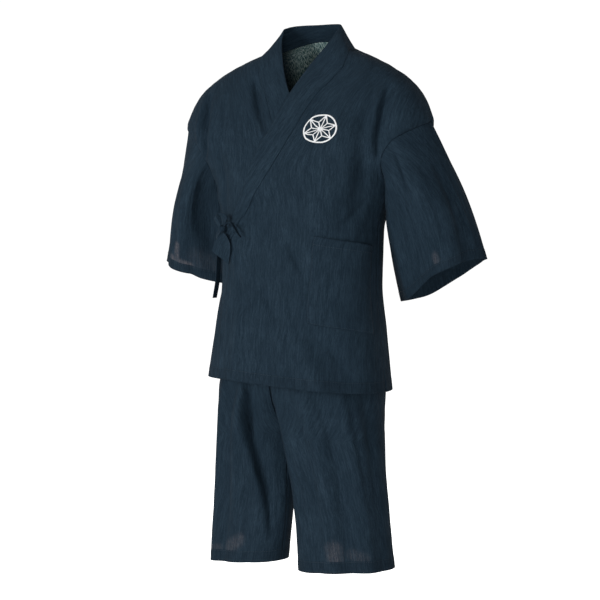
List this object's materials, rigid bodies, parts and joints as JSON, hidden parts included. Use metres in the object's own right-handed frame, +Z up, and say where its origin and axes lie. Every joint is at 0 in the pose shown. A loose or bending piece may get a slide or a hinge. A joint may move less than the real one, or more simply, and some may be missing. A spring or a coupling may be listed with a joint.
{
  "type": "jinbei set",
  "caption": "Two-piece jinbei in dark cotton: wrapped jacket with wide elbow-length sleeves, band collar, patch pocket and side tie, with loose knee-length shorts.",
  "frame": {"origin": "middle of the base of the neck, level with the top of the shoulders, where the wearer holds it up", "axes": "+Z up, -Y towards the wearer's front, +X towards the wearer's left"},
  "size_m": [0.766, 0.286, 1.1465],
  "materials": {
    "navy_cotton": "matte crinkled cotton"
  },
  "bodies": {
    "root": {"jacket_back": "navy_cotton", "jacket_front_left": "navy_cotton", "jacket_front_right": "navy_cotton", "collar": "navy_cotton", "sleeve_left": "navy_cotton", "sleeve_right": "navy_cotton", "pocket": "navy_cotton", "trouser_front_left": "navy_cotton", "trouser_front_right": "navy_cotton", "trouser_back_left": "navy_cotton", "trouser_back_right": "navy_cotton", "waistband": "navy_cotton", "tie_loop": "navy_cotton", "tie_arc": "navy_cotton", "tie_end": "navy_cotton", "tie_tail": "navy_cotton", "tie_knot": "navy_cotton"}
  },
  "joints": []
}
